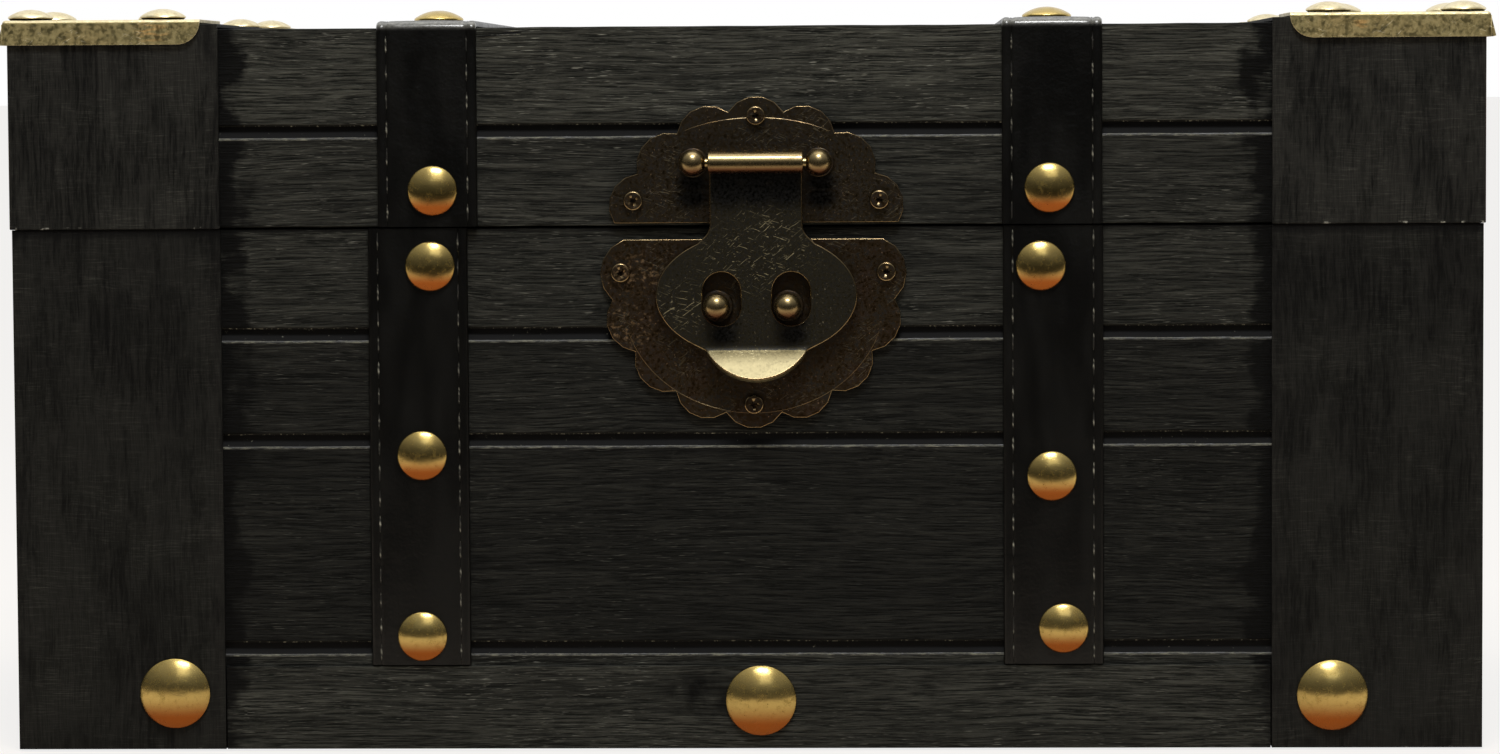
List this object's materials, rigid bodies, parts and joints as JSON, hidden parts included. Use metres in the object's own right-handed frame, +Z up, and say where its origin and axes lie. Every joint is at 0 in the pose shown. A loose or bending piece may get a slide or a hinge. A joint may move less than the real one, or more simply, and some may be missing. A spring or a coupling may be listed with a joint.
{
  "type": "treasure chest",
  "caption": "Small wooden treasure chest with a hinged flat lid, end bands, leather straps, dome nails, corner brackets and a lobed swing hasp.",
  "frame": {"origin": "centre of the overall box at its bottom, on the surface that the chest stands on", "axes": "+X along the front from left to right as seen from the front, +Y from the front to the back, +Z up"},
  "size_m": [0.3658, 0.2244, 0.182],
  "materials": {
    "stained_wood": "black stain on planks, satin, grain showing",
    "painted_wood": "black paint on thin board, satin, scratched",
    "leather": "black, glossy, stitched along both edges",
    "nail_brass": "antique gold, lightly brushed",
    "bracket_brass": "antique brass, scratched",
    "bronze": "dark antique bronze, worn at its edges",
    "worn_bronze": "antique bronze rubbed bright"
  },
  "bodies": {
    "base": {"base_back_board": "stained_wood", "base_back_rail": "painted_wood", "base_floor_board": "stained_wood", "base_front_board": "stained_wood", "base_front_rail": "painted_wood", "base_left_back_strap": "leather", "base_left_band": "painted_wood", "base_left_board": "stained_wood", "base_left_front_strap": "leather", "base_right_back_strap": "leather", "base_right_band": "painted_wood", "base_right_board": "stained_wood", "base_right_front_strap": "leather", "hasp_lower_plate": "bronze", "hasp_post_left": "worn_bronze", "hasp_post_right": "worn_bronze", "left_hinge_base_leaf": "bronze", "left_hinge_pin": "bronze", "left_strap_nail_lower": "nail_brass", "left_strap_nail_middle": "nail_brass", "left_strap_nail_upper": "nail_brass", "lower_plate_screw_bottom": "bronze", "lower_plate_screw_left": "bronze", "lower_plate_screw_right": "bronze", "rail_nail_left": "nail_brass", "rail_nail_middle": "nail_brass", "rail_nail_right": "nail_brass", "right_hinge_base_leaf": "bronze", "right_hinge_pin": "bronze", "right_strap_nail_lower": "nail_brass", "right_strap_nail_middle": "nail_brass", "right_strap_nail_upper": "nail_brass"},
    "lid": {"corner_bracket_back_left": "bracket_brass", "corner_bracket_back_right": "bracket_brass", "corner_bracket_front_left": "bracket_brass", "corner_bracket_front_right": "bracket_brass", "hasp_knob_left": "worn_bronze", "hasp_knob_right": "worn_bronze", "hasp_pin": "worn_bronze", "hasp_upper_plate": "bronze", "left_hinge_lid_leaf": "bronze", "lid_back_board": "stained_wood", "lid_front_board": "stained_wood", "lid_left_band": "painted_wood", "lid_left_board": "stained_wood", "lid_left_front_nail": "nail_brass", "lid_left_strap": "leather", "lid_left_top_nail": "nail_brass", "lid_right_band": "painted_wood", "lid_right_board": "stained_wood", "lid_right_front_nail": "nail_brass", "lid_right_strap": "leather", "lid_right_top_nail": "nail_brass", "lid_top_board": "stained_wood", "right_hinge_lid_leaf": "bronze", "upper_plate_screw_left": "bronze", "upper_plate_screw_right": "bronze", "upper_plate_screw_top": "bronze"},
    "hasp_leaf": {"hasp_leaf": "bronze"}
  },
  "joints": [
    {"name": "lid_hinge", "type": "hinge", "parent": "base", "child": "lid", "pos_m": [0, 0.10899, 0.1285], "axis": [-1, 0, 0], "range_deg": [0, 100]},
    {"name": "hasp_hinge", "type": "hinge", "parent": "lid", "child": "hasp_leaf", "pos_m": [0.003, -0.10741, 0.144], "axis": [-1, 0, 0], "range_deg": [0, 180]}
  ]
}
